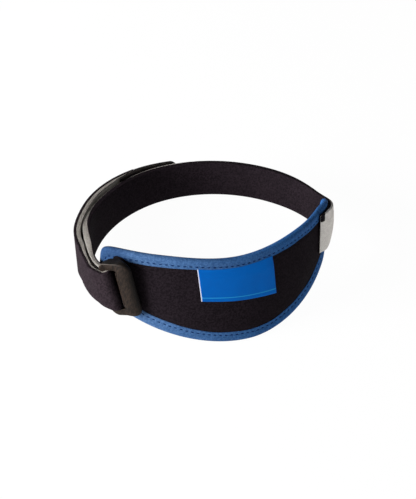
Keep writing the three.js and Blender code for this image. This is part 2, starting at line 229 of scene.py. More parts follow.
OUTER_RUN = [
    # the same, from the free end to the ring
    (229.5, 1.6, 6.4, 2.0, 0.0),
    (245.0, 1.5, 7.2, 3.7, 0.0),
    (261.0, 1.3, 8.3, 4.0, 0.0),
    (280.0, 0.9, 8.7, 4.2, 0.0),
    (294.0, 0.2, 9.4, 3.3, 1.0),
    (301.0, -0.5, 8.6, 3.0, 2.5),
    (308.0, -1.3, 6.5, 3.6, 5.0),
    (312.0, -1.9, 6.1, 3.6, 9.0),
    (318.0, -3.2, 6.8, 2.4, 15.0),
    (322.0, -3.9, 8.2, 2.5, 17.0),
]
HOOK = [
    # arc, height and thickness, from its root between the strap's two runs to its free end
    (243.0, 1.6, 0.4),
    (236.0, 1.6, 1.3),
    (229.5, 1.6, 1.8),
    (229.3, 1.6, 3.2),
    (226.0, 1.5, 3.1),
    (201.5, 0.8, 1.8),
]
HOOK_ROUNDING = 4.0
HOOK_TAPER = 0.35
HOOK_EDGE = 0.15
HOOK_GIRTH = 5.4

# Camera fitted to the photograph, in the loop's own frame before it stands
IMAGE_LONG_SIDE = 499.0
SENSOR_WIDTH = 36.0
CAMERA_ELEVATION = math.radians(36.42)
CAMERA_AZIMUTH = math.radians(-22.764)
CAMERA_DISTANCE = 590.33
CAMERA_ROLL = math.radians(-2.817)
PIXELS_IN_A_MILLIMETRE = 1.646
CAMERA_CENTRE = (7.8, 10.48)

# Studio, in metres and watts
LIGHTS = [
    # name, place, size and power
    ("key", (-1.0, -0.05, 0.3), 0.5, 24.0),
    ("fill", (1.0, -0.6, 0.35), 0.6, 0.8),
]
HORIZON_LIGHT = 0.95
OVERHEAD_LIGHT = 0.08
OVERHEAD_FROM = 0.5
FLOOR_REACH = 3.0
FLOOR_DROP = 0.0002
FLOOR_GREY = 0.04
FLOOR_GLOW = 0.97

# Cloth: pitches across and along it in centimetres, depth in metres, share of flecks and gloss
KNIT = {"pitch": (0.075, 0.06), "bump": 0.00012, "fleck": 0.7, "gloss": 0.02}
TAPE_WEAVE = {"pitch": (0.05, 0.07), "bump": 0.0001, "fleck": 0.55, "gloss": 0.1}
WEBBING = {"pitch": (0.12, 0.09), "bump": 0.00025, "fleck": 0.4, "gloss": 0.02}
NOISE_RANGE = (0.3, 0.7)

# How finely the meshes are cut and joined
OUTLINE_STEPS = 400
PAD_STEPS = 40
PAD_ROWS = 16
TAPE_SECTIONS = 840
FOLD_STEPS = (13, 7)
STITCH_PLACES = 4000
THREAD_SIDES = 6
THREAD_STEPS = 7
LABEL_GRID = (72, 36)
RING_SECTIONS = 220
RING_SIDES = 28
CORNER_STEPS = 40
TAB_GRID = (64, 28)
INNER_SECTIONS = 320
OUTER_SECTIONS = 140
BAR_SECTIONS = 18
STRAP_STEPS = 21
HOOK_SECTIONS = 80
JOIN_DISTANCE = 1e-6
FLAT_DISTANCE = 1e-7
SHARP_ANGLE = math.radians(50)

# What follows from these values
FRONT_CENTRE = math.sqrt((FRONT_RADIUS - SIDE_RADIUS) ** 2 - SIDE_CENTRE**2)
BACK_CENTRE = -math.sqrt((BACK_RADIUS - SIDE_RADIUS) ** 2 - SIDE_CENTRE**2)
FRONT_ANGLE = math.atan2(SIDE_CENTRE, FRONT_CENTRE)
BACK_ANGLE = math.atan2(SIDE_CENTRE, -BACK_CENTRE)
FRONT_LENGTH = FRONT_RADIUS * FRONT_ANGLE
SIDE_LENGTH = SIDE_RADIUS * (math.pi - FRONT_ANGLE - BACK_ANGLE)
HALF_LOOP = FRONT_LENGTH + SIDE_LENGTH + BACK_RADIUS * BACK_ANGLE
FULL_LOOP = 2 * HALF_LOOP
ROLL = Matrix.Rotation(math.radians(-REST_ROLL), 3, "Y")
TILT = Matrix.Rotation(math.radians(-REST_TILT), 3, "X")
STANDING = np.array(ROLL @ TILT)
MOVE = np.array([-BOX_MIDDLE[0], -BOX_MIDDLE[1], REST_LIFT])


def smoothstep(x, low, high):
    t = np.clip((np.asarray(x, float) - low) / (high - low), 0, 1)
    return t * t * (3 - 2 * t)


def lerp(a, b, t):
    return a + (b - a) * t


def plan(arc):
    """Points of the loop at places along it, with the way out of it and its twist there."""
    arc = np.asarray(arc, float)
    turned = np.where(arc > HALF_LOOP, arc - FULL_LOOP, arc)
    side = np.where(turned < 0, -1.0, 1.0)
    s = np.abs(turned)
    front = s < FRONT_LENGTH
    corner = ~front & (s < FRONT_LENGTH + SIDE_LENGTH)
    corner_angle = FRONT_ANGLE + (s - FRONT_LENGTH) / SIDE_RADIUS
    back_angle = math.pi - (HALF_LOOP - s) / BACK_RADIUS
    angle = np.where(front, s / FRONT_RADIUS, np.where(corner, corner_angle, back_angle))
    radius = np.where(front, FRONT_RADIUS, np.where(corner, SIDE_RADIUS, BACK_RADIUS))
    out_x = side * np.sin(angle)
    out_y = -np.cos(angle)
    fade = np.exp(-((np.maximum(s - SKEW_LENGTH, 0) / SKEW_FADE) ** 2))
    reach = radius - FRONT_SKEW * side * np.sin(s / SKEW_LENGTH) * fade
    x = np.where(corner, side * SIDE_CENTRE, 0) + out_x * reach
    y = np.where(front, FRONT_CENTRE, np.where(corner, 0, BACK_CENTRE)) + out_y * reach
    twist = END_TWIST * smoothstep(turned, *TWIST_RISE) * (1 - smoothstep(turned, *TWIST_FADE))
    return x, y, out_x, out_y, twist


def wall(arc, height, offset):
    """Points of the standing object, in metres, pressed flat where they would reach below the floor."""
    arc, height, offset = np.broadcast_arrays(arc, height, offset)
    x, y, out_x, out_y, twist = plan(arc)
    lean = np.radians(FRONT_LEAN * out_y - MEAN_LEAN + twist)
    out = offset + height * np.tan(lean)
    points = np.stack([x + out_x * out, y + out_y * out, height], axis=-1)
    points = points @ STANDING.T + MOVE
    points[..., 2] = np.maximum(points[..., 2], 0)
    return points / 1000


# Meshes from grids of points


def grid_faces(sections, count, ends):
    """Faces over sections of points. Each corner is a section and a place round it, and they count on past
    the last one where the grid closes."""
    spans = sections if ends == "ring" else sections - 1
    faces = [
        [(i, j), (i + 1, j), (i + 1, j + 1), (i, j + 1)] for i in range(spans) for j in range(count)
    ]
    if ends == "capped":
        faces.append([(0, j) for j in range(count)])
        faces.append([(sections - 1, j) for j in reversed(range(count))])
    return faces


def grid_object(name, points, uv, ends="capped"):
    """A closed skin over points, which are sections by places round each section. The cloth map uv has one
    more place, which closes the section. It is in centimetres, or in shares on the label and round the
    ring."""
    sections, count, _ = points.shape
    corners = grid_faces(sections, count, ends)
    faces = [[i % sections * count + j % count for i, j in face] for face in corners]
    mesh = bpy.data.meshes.new(name)
    mesh.from_pydata(points.reshape(-1, 3).tolist(), [], faces)
    layer = mesh.uv_layers.new(name="Cloth")
    layer.data.foreach_set("uv", np.array([uv[c] for face in corners for c in face], float).ravel())
    return finished_object(name, mesh)


def finished_object(name, mesh):
    """An object of the mesh with doubled points joined, its faces pointing out and smooth shading."""
    work = bmesh.new()
    work.from_mesh(mesh)
    bmesh.ops.remove_doubles(work, verts=work.verts, dist=JOIN_DISTANCE)
    bmesh.ops.dissolve_degenerate(work, edges=work.edges, dist=FLAT_DISTANCE)
    bmesh.ops.recalc_face_normals(work, faces=work.faces)
    work.to_mesh(mesh)
    work.free()
    mesh.shade_smooth()
    mesh.set_sharp_from_angle(angle=SHARP_ANGLE)
    obj = bpy.data.objects.new(name, mesh)
    bpy.context.scene.collection.objects.link(obj)
    return obj


def two_faced_object(name, outside, inside, flat, ends="capped"):
    """A thin piece from the points of its outer and inner face, which share a flat map."""
    points = np.concatenate([outside, inside[:, ::-1]], axis=1)
    uv = np.concatenate([flat, flat[:, ::-1], flat[:, :1]], axis=1)
    return grid_object(name, points, uv, ends)


def grid_map(along, around):
    """A cloth map from places along a piece and places round its sections."""
    return np.stack(np.broadcast_arrays(along[:, None], around[None, :]), axis=-1)


def share_grid(rows, columns):
    """Shares from 0 to 1 down the rows and along the columns of a grid."""
    return np.meshgrid(np.linspace(0, 1, rows), np.linspace(0, 1, columns), indexing="ij")


def sampled(wanted, places, rows):
    """Each row of values at the places wanted, from where its values lie."""
    return np.stack([np.interp(wanted, places, row) for row in rows])


def distances(points):
    """How far along a row of points each one lies."""
    return np.concatenate([[0], np.cumsum(np.linalg.norm(np.diff(points, axis=0), axis=1))])


def dress(obj, material, slot, *nodes):
    """Gives a piece its material and ties it to the object."""
    obj.data.materials.append(material)
    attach(obj, "root")
    if nodes:
        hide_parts(*nodes)
    return obj


# Pad, binding and label shapes


def pad_top(arc):
    """The height of the pad's top edge."""
    rise = np.where(arc < 0, PAD_LEFT_RISE, PAD_RIGHT_RISE)
    return PAD_TOP + rise * smoothstep(np.abs(arc), 0, PAD_RISE_LENGTH)


def pad_bottom(arc):
    """The height of the pad's bottom edge."""
    curve = np.where(arc < PAD_BOTTOM_ARC, PAD_LEFT_CURVE, PAD_RIGHT_CURVE)
    return PAD_BOTTOM + curve * np.abs(arc - PAD_BOTTOM_ARC) ** PAD_CURVE_POWER


def edge_quarter(steps):
    """A quarter of the pad's rounded end: how far along it is and how much of its height it has."""
    turn = 0.5 ** (1 / PAD_END_POWER)
    rise = np.linspace(0, turn, steps)
    along = (1 - rise**PAD_END_POWER) ** (1 / PAD_END_POWER)
    level = np.linspace(turn, 0, 2 * steps)[1:]
    share = (1 - level**PAD_END_POWER) ** (1 / PAD_END_POWER)
    return np.concatenate([along, level]), np.concatenate([rise, share])


def outline(along, share, side, inset):
    """A place on the pad's outline drawn in by an inset, as an arc and a height."""
    arc = (PAD_LEFT + PAD_RIGHT) / 2 + (PAD_RIGHT - PAD_LEFT) / 2 * along
    middle = (pad_top(arc) + pad_bottom(arc)) / 2
    reach = (pad_top(arc) - pad_bottom(arc)) / 2 - inset
    return arc - inset * along, middle + side * reach * share


def outline_path(count):
    """Places round the whole outline, evenly spaced, from the left end along the top and back."""
    along, share = edge_quarter(OUTLINE_STEPS)
    ones = np.ones_like(along)
    quarters = [
        (-along, share, ones),
        (along[::-1], share[::-1], ones),
        (along, share, -ones),
        (-along[::-1], share[::-1], -ones),
    ]
    path = np.concatenate(quarters, axis=1)
    arc, height = outline(*path, TAPE_PATH_INSET)
    length = distances(wall(arc, height, 0)) * 1000
    wanted = np.linspace(0, length[-1], count, endpoint=False)
    places = sampled(wanted, length, path)
    places[2] = np.where(places[2] < 0, -1, 1)
    return places, wanted, length[-1]


def pad_depth(inset):
    """Half the pad's thickness at a distance in from its edge: squeezed in the tape, full inside it."""
    return lerp(*PAD_DEPTHS, smoothstep(inset, *PAD_FILLING))


def make_pad():
    """The pad, thin in the tape and full inside it."""
    along, share = edge_quarter(PAD_STEPS)
    stations = np.concatenate([-along, along[-2::-1]])
    shares = np.concatenate([share, share[-2::-1]])
    between = np.linspace(0, 1, PAD_ROWS)[1:-1]
    rows = []
    for inset in PAD_INSETS:
        rows.append((*outline(stations, shares, 1, inset), pad_depth(inset) + 0 * stations))
    top = outline(stations, shares, 1, PAD_INSETS[-1])
    low = outline(stations, shares, -1, PAD_INSETS[-1])
    for f in between:
        crown = pad_depth(PAD_INSETS[-1]) + PAD_CROWN * math.sin(math.pi * f)
        rows.append((top[0], lerp(top[1], low[1], f), crown + 0 * stations))
    for inset in reversed(PAD_INSETS):
        rows.append((*outline(stations, shares, -1, inset), pad_depth(inset) + 0 * stations))
    arc, height, depth = (np.stack(part, axis=1) for part in zip(*rows))
    waves = [np.sin(arc / along + height / up) for along, up in PAD_RIPPLE_LENGTHS]
    ripple = PAD_RIPPLE * waves[0] * waves[1]
    outside = wall(arc, height, depth + ripple - PAD_HALF_THICKNESS)
    inside = wall(arc, height, -depth + ripple - PAD_HALF_THICKNESS)
    flat = np.stack([arc, height], axis=-1) / 10
    return two_faced_object("pad_body", outside, inside, flat, "open")


def tape_profile():
    """The tape's section, from its outer leg's end round the fold to its inner leg's end and back inside.
    Rows are inset and depth."""
    stations = np.array(TAPE_STATIONS)
    swell = smoothstep(-stations, -TAPE_RISE[0], -TAPE_RISE[1])
    depths = lerp(TAPE_LEG_DEPTH, TAPE_FOLD_DEPTH, swell)
    outer = np.vstack([[TAPE_LEG, TAPE_END_DEPTH], np.column_stack([stations, depths])])
    inside = np.array(TAPE_INSIDE)
    turn = np.radians(np.linspace(TAPE_FOLD_TURN, -TAPE_FOLD_TURN, FOLD_STEPS[0]))
    fold = np.column_stack([TAPE_FOLD * (1 - np.cos(turn)), TAPE_FOLD_DEPTH * np.sin(turn)])
    turn = np.radians(np.linspace(-TAPE_FOLD_TURN, TAPE_FOLD_TURN, FOLD_STEPS[1]))
    inner_inset = lerp(TAPE_THICKNESS, TAPE_FOLD, 1 - np.cos(turn))
    inner_fold = np.column_stack([inner_inset, inside[-1, 1] * np.sin(turn)])
    other_side = [1, -1]
    under = outer[::-1] * other_side
    return np.vstack([outer, fold, under, inside * other_side, inner_fold, inside[::-1]])


def tape_pull(inset, distance):
    """How far the stitches pull the tape in, and its slow waves, at a distance along the edge."""
    dip = np.exp(-(((inset - STITCH_INSET) / STITCH_DIP_WIDTH) ** 2))
    stitch = 0.5 + 0.5 * np.cos(2 * math.pi * distance / STITCH_PITCH)
    slow = sum(height * np.sin(distance / length + start) for height, length, start in TAPE_WAVES)
    return -(STITCH_DIP[0] + STITCH_DIP[1] * stitch) * dip + slow * smoothstep(inset, *TAPE_WAVE_RISE)


def make_binding():
    """The tape over the pad's edge, pulled in along its stitches."""
    places, distance, length = outline_path(TAPE_SECTIONS)
    profile = tape_profile()
    wave = EDGE_WAVE * np.sin(distance / EDGE_WAVE_LENGTHS[0]) * np.sin(distance / EDGE_WAVE_LENGTHS[1])
    rows = []
    for inset, depth in profile:
        arc, height = outline(*places, inset + wave * (inset > EDGE_WAVE_INSET))
        pull = tape_pull(inset, distance) * np.sign(depth)
        rows.append((arc, height, depth + pull - PAD_HALF_THICKNESS))
    points = wall(*(np.stack(part, axis=1) for part in zip(*rows)))
    across = distances(profile)
    across = np.append(across, across[-1] + TAPE_END_SPAN)
    uv = grid_map(np.append(distance, length), across) / 10
    return grid_object("binding_tape", points, uv, "ring")


def stitch_mesh(name, dashes, radius):
    """Short threads as one object, with their radius in millimetres. Each dash is a row of points with the
    way out of the cloth at each."""
    angle = np.linspace(0, 2 * math.pi, THREAD_SIDES, endpoint=False)[:, None]
    corners = grid_faces(THREAD_STEPS, THREAD_SIDES, "capped")
    vertices = []
    faces = []
    for path, out in dashes:
        tangent = np.gradient(path, axis=0)
        tangent /= np.linalg.norm(tangent, axis=1, keepdims=True)
        across = np.cross(tangent, out)
        across /= np.linalg.norm(across, axis=1, keepdims=True)
        normal = np.cross(across, tangent)
        reach = np.cos(angle) * across[:, None] + np.sin(angle) * normal[:, None]
        first = len(vertices)
        vertices.extend((path[:, None] + reach * radius / 1000).reshape(-1, 3).tolist())
        faces.extend([first + i * THREAD_SIDES + j % THREAD_SIDES for i, j in face] for face in corners)
    mesh = bpy.data.meshes.new(name)
    mesh.from_pydata(vertices, [], faces)
    return finished_object(name, mesh)


def dash_path(place, length, sink):
    """A thread from a place function of the distance along it, whose ends sink into the cloth by as many
    millimetres."""
    s = np.linspace(-0.5, 0.5, THREAD_STEPS)
    rise = 1 - (2 * np.abs(s)) ** 3
    low = place(s * length, 0)
    high = place(s * length, 1)
    out = high - low
    out /= np.linalg.norm(out, axis=1, keepdims=True)
    return low + out * ((rise - 1) * sink / 1000)[:, None], out


def make_binding_stitches():
    """One line of stitches along each leg of the tape."""
    places, distance, length = outline_path(STITCH_PLACES)
    count = int(length / STITCH_PITCH)
    pitch = length / count
    dashes = []
    for side in (1, -1):
        for k in range(count):
            middle = (k + 0.5) * pitch

            def place(s, out, middle=middle, side=side):
                at = sampled(middle + s, distance, places)
                at[2] = np.where(at[2] < 0, -1, 1)
                arc, height = outline(*at, STITCH_INSET + STITCH_WAVER * math.sin(middle))
                depth = STITCH_DEPTH + tape_pull(STITCH_INSET, middle + s)
                return wall(arc, height, side * (depth + out) - PAD_HALF_THICKNESS)

            dashes.append(dash_path(place, STITCH_LENGTH, STITCH_SINK))
    return stitch_mesh("binding_stitches", dashes, STITCH_RADIUS)


def make_label():
    """The label, tucked under the top tape, with soft edges."""
    f, g = share_grid(*LABEL_GRID)
    top = lerp(*LABEL_TOP, f)
    arc = lerp(top, lerp(*LABEL_LOW, f), g)
    height = lerp(pad_top(top) - LABEL_UNDER_TOP, lerp(*LABEL_HEIGHTS, f), g)
    wave = np.sin(f * LABEL_WAVE_TURNS[0] + g * LABEL_WAVE_TURNS[1])
    lift = LABEL_LIFT * g**2 + LABEL_WAVE * wave * g
    offset = lerp(*LABEL_OFFSETS, smoothstep(g, 0, LABEL_TUCK)) + lift
    edge = np.minimum(np.minimum(f, 1 - f) * LABEL_SPAN[0], (1 - g) * LABEL_SPAN[1])
    thick = LABEL_THICKNESS * lerp(LABEL_EDGE_SHARE, 1, smoothstep(edge, 0, LABEL_SOFT_EDGE))
    outside = wall(arc, height, offset + thick)
    inside = wall(arc, height, offset + LABEL_BACK)
    return two_faced_object("label_woven", outside, inside, np.stack([f, 1 - g], axis=-1))


# Ring and tab shapes


def ring_place(across, along):
    """A place in the ring's own turned plane, as an arc and a height."""
    arc = RING_ARC + across * math.cos(RING_TURN) - along * math.sin(RING_TURN)
    height = RING_HEIGHT + across * math.sin(RING_TURN) + along * math.cos(RING_TURN)
    return arc, height


def ring_path(count):
    """Places round the ring's middle line with the way along it, evenly spaced."""
    r = RING_CORNER
    pieces = []
    corners = [
        # middle of each corner and the angle it starts from
        (RING_LEFT + r, RING_ARM - r, 180),
        (RING_RIGHT - r, RING_ARM - r, 90),
        (RING_RIGHT - r, -RING_ARM + r, 0),
        (RING_LEFT + r, -RING_ARM + r, -90),
    ]
    for x, y, start in corners:
        a = np.radians(np.linspace(start, start - 90, CORNER_STEPS))
        pieces.append(np.stack([x + r * np.cos(a), y + r * np.sin(a)], axis=1))
    path = np.concatenate(pieces + [pieces[0][:1]])
    length = distances(path)
    wanted = np.linspace(0, length[-1], count, endpoint=False)
    at = sampled(wanted, length, path.T).T
    way = np.roll(at, -1, axis=0) - np.roll(at, 1, axis=0)
    way /= np.linalg.norm(way, axis=1, keepdims=True)
    return at, way, wanted, length[-1]


def make_ring():
    """The ring: a slim bar, two arms and a wide bar."""
    at, way, distance, length = ring_path(RING_SECTIONS)
    angle = np.linspace(0, 2 * math.pi, RING_SIDES, endpoint=False)
    wide = smoothstep(at[:, 0], RING_RIGHT - RING_CORNER, RING_RIGHT)
    on_arm = smoothstep(at[:, 0], RING_LEFT, RING_LEFT + RING_CORNER)
    width = lerp(lerp(RING_SLIM[0], RING_ARM_WIDTH, on_arm), RING_WIDE[0], wide)
    depth = RING_TOP_DEPTH * smoothstep(at[:, 1], 0, RING_ARM) * on_arm
    slim_or_arm = lerp(RING_SLIM[1], RING_ARM_THICKNESS, on_arm) + depth
    thickness = lerp(slim_or_arm, RING_WIDE[1], wide)[:, None]
    shift = (-depth / 2 * (1 - wide))[:, None]
    roundness = lerp(*RING_ROUNDNESS, wide)[:, None]
    a = np.sign(np.cos(angle)) * np.abs(np.cos(angle)) ** roundness
    b = np.sign(np.sin(angle)) * np.abs(np.sin(angle)) ** roundness
    right_low = (at[:, 0] > 0) & (at[:, 1] < 0)
    left_top = (at[:, 0] < 0) & (at[:, 1] > 0)
    sharp = RING_SHARP["low right"] * right_low + RING_SHARP["top left"] * left_top
    corner = (sharp * (2 * way[:, 0] * way[:, 1]) ** 2)[:, None]
    sideways = a * width[:, None] / 2 * (1 + corner * (a < 0))
    across = at[:, :1] + way[:, 1:] * sideways
    along = at[:, 1:] - way[:, :1] * sideways
    plane = lerp(RING_LEFT_OFFSET, RING_RIGHT_OFFSET, (across - RING_LEFT) / (RING_RIGHT - RING_LEFT))
    points = wall(*ring_place(across, along), plane + along * RING_LEAN + shift + b * thickness / 2)
    uv = grid_map(np.append(distance, length) / 10, np.linspace(0, 1, RING_SIDES + 1))
    return grid_object("ring_moulded", points, uv, "ring")


def make_tab():
    """A webbing patch under the ring's wide bar, with soft edges."""
    f, g = share_grid(*TAB_GRID)
    along = lerp(TAB_LOW, TAB_HIGH, f)
    from_end = np.minimum(along - TAB_LOW, TAB_HIGH - along)
    cut = TAB_CORNER - np.sqrt(np.maximum(TAB_CORNER**2 - np.maximum(TAB_CORNER - from_end, 0) ** 2, 0))
    left = lerp(*TAB_LEFT, f) + cut
    slant = np.maximum((along - TAB_RIGHT_HIGH) / (TAB_HIGH - TAB_RIGHT_HIGH), 0)
    right = lerp(*TAB_RIGHT, slant) - cut
    across = lerp(left, right, g)
    edge = np.minimum(np.minimum(across - left, right - across), from_end)
    thick = lerp(*TAB_THICKNESSES, smoothstep(edge, 0, TAB_SOFT_EDGE))
    place = ring_place(across, along)
    outside = wall(*place, TAB_FRONT + thick)
    inside = wall(*place, TAB_BACK)
    return two_faced_object("tab_webbing", outside, inside, np.stack([along, across], axis=-1) / 10)


def make_tab_stitches():
    """A line of stitches along the tab's right edge."""
    dashes = []
    column = TAB_RIGHT[0] - TAB_STITCH_INSET
    low = TAB_LOW + TAB_STITCH_ENDS[0]
    high = TAB_RIGHT_HIGH - TAB_STITCH_ENDS[1]
    for along in np.arange(low, high, TAB_STITCH_PITCH):

        def place(s, out, along=along):
            return wall(*ring_place(column + 0 * s, along + s), TAB_STITCH_OFFSET + out)

        dashes.append(dash_path(place, TAB_STITCH_LENGTH, STITCH_SINK))
    return stitch_mesh("tab_stitches", dashes, TAB_STITCH_RADIUS)


# Strap shapes


def run_at(rows, arc):
    """Height, offset, flare and turn of a run at places along the loop, smoothly between its rows."""
    rows = sorted(rows)
    places = np.array([row[0] for row in rows])
    values = np.array([row[1:] for row in rows])
    arc = np.asarray(arc, float)
    i = np.clip(np.searchsorted(places, arc, side="right"), 1, len(places) - 1)
    before = np.where(i >= 2, i - 2, i)
    after = np.where(i + 1 < len(places), i + 1, i - 1)
    t0 = places[i - 1]
    t1 = places[i]
    half = (t1 - t0) / 2
    pull = half / (t0 - np.where(i >= 2, places[before], t1))
    push = half / (np.where(i + 1 < len(places), places[after], t0) - t1)
    p = (arc - t0) / (t1 - t0)
    w_before = -pull * p**3 + 2 * pull * p**2 - pull * p
    w_start = (1 + pull) * p**3 + (-1.5 - 2 * pull) * p**2 + (-0.5 + pull) * p + 1
    w_end = (-1 - push) * p**3 + (1.5 + push) * p**2 + 0.5 * p
    w_after = push * p**3 - push * p**2
    terms = [(w_before, before), (w_start, i - 1), (w_end, i), (w_after, after)]
    return sum(w[:, None] * values[k] for w, k in terms)


FOLD_RADIUS = RING_SLIM[1] / 2 + SEAM_GAP + SQUEEZED_THICKNESS / 2
BAR_ARC_HERE, BAR_HEIGHT = ring_place(RING_LEFT, 0)
BAR_ARC = BAR_ARC_HERE + FULL_LOOP + FOLD_CLEARANCE
BAR_FLARE = RING_LEAN * STRAP_WIDTH
INNER_ROWS = INNER_RUN + [(BAR_ARC, BAR_HEIGHT, RING_LEFT_OFFSET - FOLD_RADIUS, BAR_FLARE, FOLD_TURN)]
OUTER_ROWS = OUTER_RUN + [(BAR_ARC, BAR_HEIGHT, RING_LEFT_OFFSET + FOLD_RADIUS, BAR_FLARE, FOLD_TURN)]


def run_line(rows, arcs, facing):
    """The middle line of a run: arc, height, offset, flare, turn, and the way to the pile side, along and
    out."""
    at = run_at(rows, arcs)
    reach = 0.5
    low = np.maximum(arcs - reach, min(arcs[0], arcs[-1]))
    high = np.minimum(arcs + reach, max(arcs[0], arcs[-1]))
    slope = (run_at(rows, high)[:, 1] - run_at(rows, low)[:, 1]) / (high - low)
    length = np.hypot(1, slope)
    return np.column_stack([arcs, at, -facing * slope / length, facing / length])


def thickness_at(arc):
    """The strap's thickness, squeezed where it is sewn on and where it goes through the ring."""
    squeeze = np.maximum(1 - smoothstep(arc, *SEWN), smoothstep(arc, *SQUEEZE))
    return lerp(STRAP_THICKNESS, SQUEEZED_THICKNESS, squeeze)


def strap_line():
    """The strap's whole middle line, from the end sewn on the pad to the hook tab, as in run_line, and its
    layers: half its thickness, its pile's thickness, the pile's swell between the two runs and the black
    margin beside the pile."""
    inner = run_line(INNER_ROWS, np.linspace(INNER_RUN[0][0], BAR_ARC, INNER_SECTIONS), 1)
    outer = run_line(OUTER_ROWS, np.linspace(BAR_ARC, FREE_END[0], OUTER_SECTIONS), -1)
    angle = np.linspace(-math.pi / 2, math.pi / 2, BAR_SECTIONS)[1:-1]
    along = FOLD_RADIUS * np.cos(angle)
    columns = [
        BAR_ARC + along,
        BAR_HEIGHT + along * math.tan(math.radians(FOLD_TURN)),
        RING_LEFT_OFFSET + FOLD_RADIUS * np.sin(angle),
        BAR_FLARE + 0 * angle,
        FOLD_TURN + 0 * angle,
        -np.cos(angle),
        -np.sin(angle),
    ]
    fold = np.column_stack(columns)
    full = thickness_at(inner[:, 0])
    pressed = lerp(PRESSED_THICKNESS, full, smoothstep(inner[:, 0], *PRESSED))
    inner[:, 2] -= (full - pressed) / 2
    full = thickness_at(outer[:, 0])
    thin = lerp(FREE_END_THICKNESS, full, smoothstep(outer[:, 0], *FREE_END))
    outer[:, 2] += (full - thin) / 2
    line = np.concatenate([inner, fold, outer])
    thickness = np.concatenate([pressed, np.full(len(fold), SQUEEZED_THICKNESS), thin])
    past_fold = np.clip((np.arange(len(line)) - len(inner)) / len(fold), 0, 1)
    arcs, piles, margins = zip(*INNER_PILE)
    inner_pile = np.interp(line[:, 0], arcs, piles)
    margin = np.where(past_fold > 0, margins[-1], np.interp(line[:, 0], arcs, margins))
    pile = np.where(past_fold > 0, thickness, inner_pile)
    pile = np.minimum(pile, thickness - lerp(INNER_SKIN, OUTER_SKIN, past_fold))
    pile = np.maximum(pile, LEAST_PILE)
    swell = SWELL * smoothstep(line[:, 0], *SWELL_RISE) * (1 - smoothstep(line[:, 0], *SWELL_FADE))
    return line, {"half": thickness / 2, "pile": pile, "swell": swell, "margin": margin}


def band_points(line, deep, across):
    """Points of a band at depths to its pile side and places across its width, bowed out where it bends round
    the loop's right end."""
    arc, height, offset, flare, turn, way_along, way_out = (line[:, k, None] for k in range(7))
    turn = np.radians(turn)
    bow = END_BOW * smoothstep(arc, *BOW_RISE) * (1 - smoothstep(arc, *BOW_FADE))
    bow = bow * (1 - (2 * across / STRAP_WIDTH) ** 2)
    return wall(
        arc + way_along * deep - np.sin(turn) * across,
        height + np.cos(turn) * across,
        offset + way_out * deep + flare * across / STRAP_WIDTH + bow,
    )


def band_loop(low, high, half, radius):
    """Rounded rectangles as depths and places across, one for each section, with the high face first."""
    flat = np.linspace(1, -1, STRAP_STEPS)
    a = np.radians([22.5, 45.0, 67.5])
    cos, sin, one = np.cos(a), np.sin(a), np.ones(3)
    ones = np.ones(STRAP_STEPS)
    sides = [
        # share of the way from low to high, rise in radii, place across, and reach past it in radii
        (ones, 0 * ones, flat, 0 * ones),
        (one, cos - 1, -one, -sin),
        ([1, 0], [-1, 1], [-1, -1], [-1, -1]),
        (0 * one, 1 - sin, -one, -cos),
        (0 * ones, 0 * ones, flat[::-1], 0 * ones),
        (0 * one, 1 - cos, one, sin),
        ([0, 1], [1, -1], [1, 1], [1, 1]),
        (one, sin - 1, one, cos),
    ]
    share, rise, place, reach = (np.concatenate([side[k] for side in sides])[None, :] for k in range(4))
    low, high, half = (np.asarray(v, float)[:, None] for v in (low, high, half))
    return low + (high - low) * share + radius * rise, (half - radius) * place + radius * reach


def line_length(line):
    """Distances in millimetres along a middle line."""
    middle = band_points(line, np.zeros((1, 1)), np.zeros((1, 1)))[:, 0]
    return distances(middle) * 1000


def band_object(name, line, low, high, half, radius):
    """A layer of the strap between two depths and as wide as given, section by section."""
    deep, across = band_loop(low, high, half, radius)
    points = band_points(line, deep, across)
    section = np.stack([deep[0], across[0]], axis=1)
    around = distances(np.append(section, section[:1], axis=0))
    return grid_object(name, points, grid_map(line_length(line), around) / 10)


def make_strap_cloth():
    """The strap's black side."""
    line, layers = strap_line()
    half = layers["half"]
    width = np.full_like(half, STRAP_WIDTH / 2)
    return band_object("strap_cloth", line, -half, half - layers["pile"], width, STRAP_ROUNDING)


def make_strap_pile():
    """The strap's grey pile, which swells between the two runs."""
    line, layers = strap_line()
    half = layers["half"]
    width = STRAP_WIDTH / 2 - layers["margin"]
    low = half - layers["pile"] + PILE_GAP
    return band_object("strap_pile", line, low, half + layers["swell"], width, PILE_ROUNDING)


def make_hook_tab():
    """The hook tab outside the strap's inner run, whose rounded end tapers down onto it."""
    arcs = np.linspace(HOOK[0][0], HOOK[-1][0], HOOK_SECTIONS)
    places, heights, sizes = zip(*reversed(HOOK))
    thickness = np.interp(arcs, places, sizes)
    under = run_at(INNER_ROWS, arcs)
    under[:, 0] = np.interp(arcs, places, heights)
    under[:, 1] += thickness_at(arcs) / 2 + SEAM_GAP + thickness / 2
    line = np.column_stack([arcs, under, 0 * arcs, 1 + 0 * arcs])
    left = arcs - HOOK[-1][0]
    rounding = np.sqrt(1 - np.maximum(1 - left / HOOK_ROUNDING, 0) ** 2)
    taper = lerp(HOOK_TAPER, 1, smoothstep(left, 0, HOOK_ROUNDING))
    half = STRAP_WIDTH / 2 - HOOK_ROUNDING * (1 - rounding)
    low = -thickness / 2
    deep, across = band_loop(low, low + thickness * taper, half, HOOK_EDGE)
    uv = grid_map((arcs[0] - arcs) / 10, np.linspace(0, HOOK_GIRTH, deep.shape[1] + 1))
    return grid_object("hook_tape", band_points(line, deep, across), uv)


